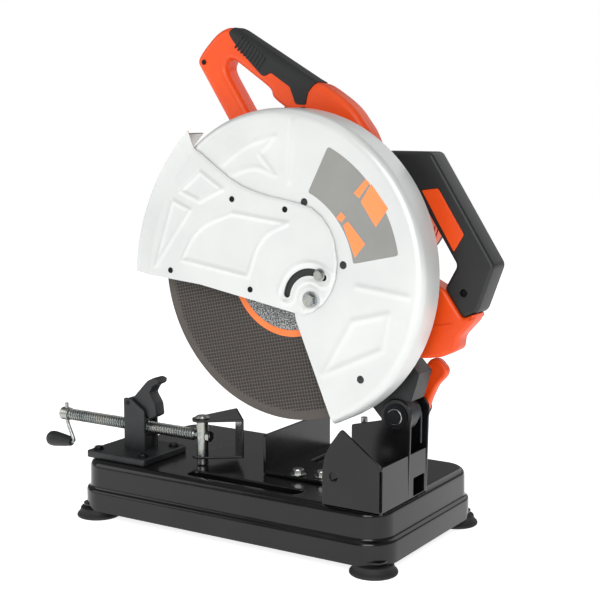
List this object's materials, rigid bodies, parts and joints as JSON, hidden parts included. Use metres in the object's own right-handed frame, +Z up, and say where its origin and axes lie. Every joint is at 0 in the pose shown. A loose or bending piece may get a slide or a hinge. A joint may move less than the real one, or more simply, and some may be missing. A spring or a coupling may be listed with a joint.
{
  "type": "abrasive chop saw",
  "caption": "Bench chop saw: pressed steel base with screw vise and fence, and a sprung cutting head with guarded abrasive wheel, motor and handles.",
  "frame": {"origin": "on the bench, at the centre of the four bench bolt holes in the feet", "axes": "+X towards the head's hinge at the rear, -Y on the wheel side, +Z up"},
  "size_m": [0.657, 0.2745, 0.626],
  "materials": {
    "black_enamel": "gloss black enamel",
    "foot_rubber": "matt moulded",
    "zinc_steel": "bright zinc plate",
    "bare_steel": "turned and ground",
    "spring_steel": "oiled",
    "black_plastic": "fine texture",
    "cord_rubber": "matt",
    "black_casting": "satin paint over casting",
    "orange_plastic": "satin moulded",
    "grip_rubber": "ribbed soft grip",
    "dark_screw": "blackened",
    "silver_paint": "silver paint on pressed sheet",
    "decal_film": "printed film",
    "abrasive": "resin-bonded grit with woven mesh",
    "copper_winding": "varnished copper"
  },
  "bodies": {
    "base": {"base_pan": "black_enamel", "foot_front_near": "foot_rubber", "foot_front_far": "foot_rubber", "foot_rear_near": "foot_rubber", "foot_rear_far": "foot_rubber", "foot_eyelets": "zinc_steel", "hinge_bracket": "black_enamel", "bracket_bolts": "zinc_steel", "pivot_pin": "bare_steel", "pivot_clip": "zinc_steel", "return_spring": "spring_steel", "depth_stop_bolt": "zinc_steel", "vise_block": "black_enamel", "vise_block_bolts": "zinc_steel", "lever_pin": "bare_steel", "fence_bolts": "zinc_steel"},
    "fence": {"fence": "black_enamel"},
    "vise_pin": {"jaw_pin": "zinc_steel"},
    "vise_screw": {"vise_screw": "zinc_steel", "screw_nut": "zinc_steel", "crank_rod": "zinc_steel", "crank_knob": "black_plastic"},
    "jaw": {"jaw_bracket": "black_enamel"},
    "nut_lever": {"half_nut_lever": "black_enamel"},
    "head": {"gear_case": "black_casting", "gear_cover": "black_casting", "motor_housing": "orange_plastic", "motor_end_cap": "black_plastic", "rear_shroud": "orange_plastic", "handle_shell_near": "orange_plastic", "handle_shell_far": "orange_plastic", "grip_overmould": "grip_rubber", "handle_screws": "dark_screw", "carry_handle": "black_plastic", "carry_inset": "orange_plastic", "guard_fixed": "silver_paint", "guard_decal": "decal_film", "guard_pivot_bolt": "zinc_steel", "guard_stop_bolt": "zinc_steel", "stator": "bare_steel", "brush_caps": "black_plastic", "switch_body": "black_plastic", "cord_gland": "cord_rubber", "spindle_bearings": "bare_steel", "armature_bearings": "bare_steel"},
    "moving_guard": {"guard_moving": "silver_paint", "guard_rivets": "dark_screw"},
    "spindle": {"spindle_shaft": "bare_steel", "inner_flange": "bare_steel", "outer_flange": "bare_steel", "cutting_wheel": "abrasive", "spindle_bolt": "zinc_steel", "driven_gear": "bare_steel"},
    "armature": {"armature_shaft": "bare_steel", "armature_core": "copper_winding", "cooling_fan": "black_plastic"},
    "trigger": {"trigger": "black_plastic"},
    "lock_button": {"lock_button": "black_plastic"},
    "spindle_lock": {"spindle_lock": "bare_steel"},
    "latch_lever": {"latch_lever": "orange_plastic"}
  },
  "joints": [
    {"name": "head_plunge", "type": "hinge", "parent": "base", "child": "head", "pos_m": [0.209, -0.041, 0.175], "axis": [0, -1, 0], "range_deg": [0, 33], "stiffness_Nm_per_rad": 22, "springref_deg": -51.57},
    {"name": "guard_swing", "type": "hinge", "parent": "head", "child": "moving_guard", "pos_m": [0.1307, -0.125, 0.3123], "axis": [0, 1, 0], "range_deg": [0, 90]},
    {"name": "spindle_spin", "type": "hinge", "parent": "head", "child": "spindle", "pos_m": [0.0847, -0.0992, 0.341], "axis": [0, 1, 0], "continuous": true},
    {"name": "armature_spin", "type": "hinge", "parent": "head", "child": "armature", "pos_m": [0.14017, 0, 0.39148], "axis": [0, 1, 0], "continuous": true},
    {"name": "fence_angle", "type": "hinge", "parent": "base", "child": "fence", "pos_m": [0.066, -0.05, 0.078], "axis": [0, 0, 1], "range_deg": [-45, 0]},
    {"name": "vise_slide", "type": "slide", "parent": "base", "child": "vise_pin", "axis": [1, 0, 0], "range_m": [-0.045, 0.028]},
    {"name": "crank_turn", "type": "hinge", "parent": "vise_pin", "child": "vise_screw", "pos_m": [-0.2, -0.0606, 0.114], "axis": [1, 0, 0], "continuous": true},
    {"name": "jaw_swivel", "type": "hinge", "parent": "vise_pin", "child": "jaw", "pos_m": [-0.071, -0.0606, 0.112], "axis": [0, 0, 1], "range_deg": [-87, 3]},
    {"name": "nut_lever_flip", "type": "hinge", "parent": "base", "child": "nut_lever", "pos_m": [-0.181, -0.0605, 0.146], "axis": [0, 1, 0], "range_deg": [0, 8]},
    {"name": "trigger_pull", "type": "hinge", "parent": "head", "child": "trigger", "pos_m": [0.0917, -0.044, 0.513], "axis": [0, 1, 0], "range_deg": [0, 9], "stiffness_Nm_per_rad": 0.4, "springref_deg": -14.32},
    {"name": "lock_press", "type": "slide", "parent": "head", "child": "lock_button", "axis": [0, 1, 0], "range_m": [0, 0.0018], "stiffness_N_per_m": 300, "springref_m": -0.002},
    {"name": "spindle_lock_press", "type": "slide", "parent": "head", "child": "spindle_lock", "axis": [0, -1, 0], "range_m": [0, 0.006], "stiffness_N_per_m": 400, "springref_m": -0.004},
    {"name": "latch_turn", "type": "hinge", "parent": "base", "child": "latch_lever", "pos_m": [0.209, -0.01, 0.175], "axis": [0, 1, 0], "range_deg": [0, 60]}
  ],
  "couplings": [
    {"joint": "armature_spin", "follows": "spindle_spin", "ratio": -4}
  ]
}
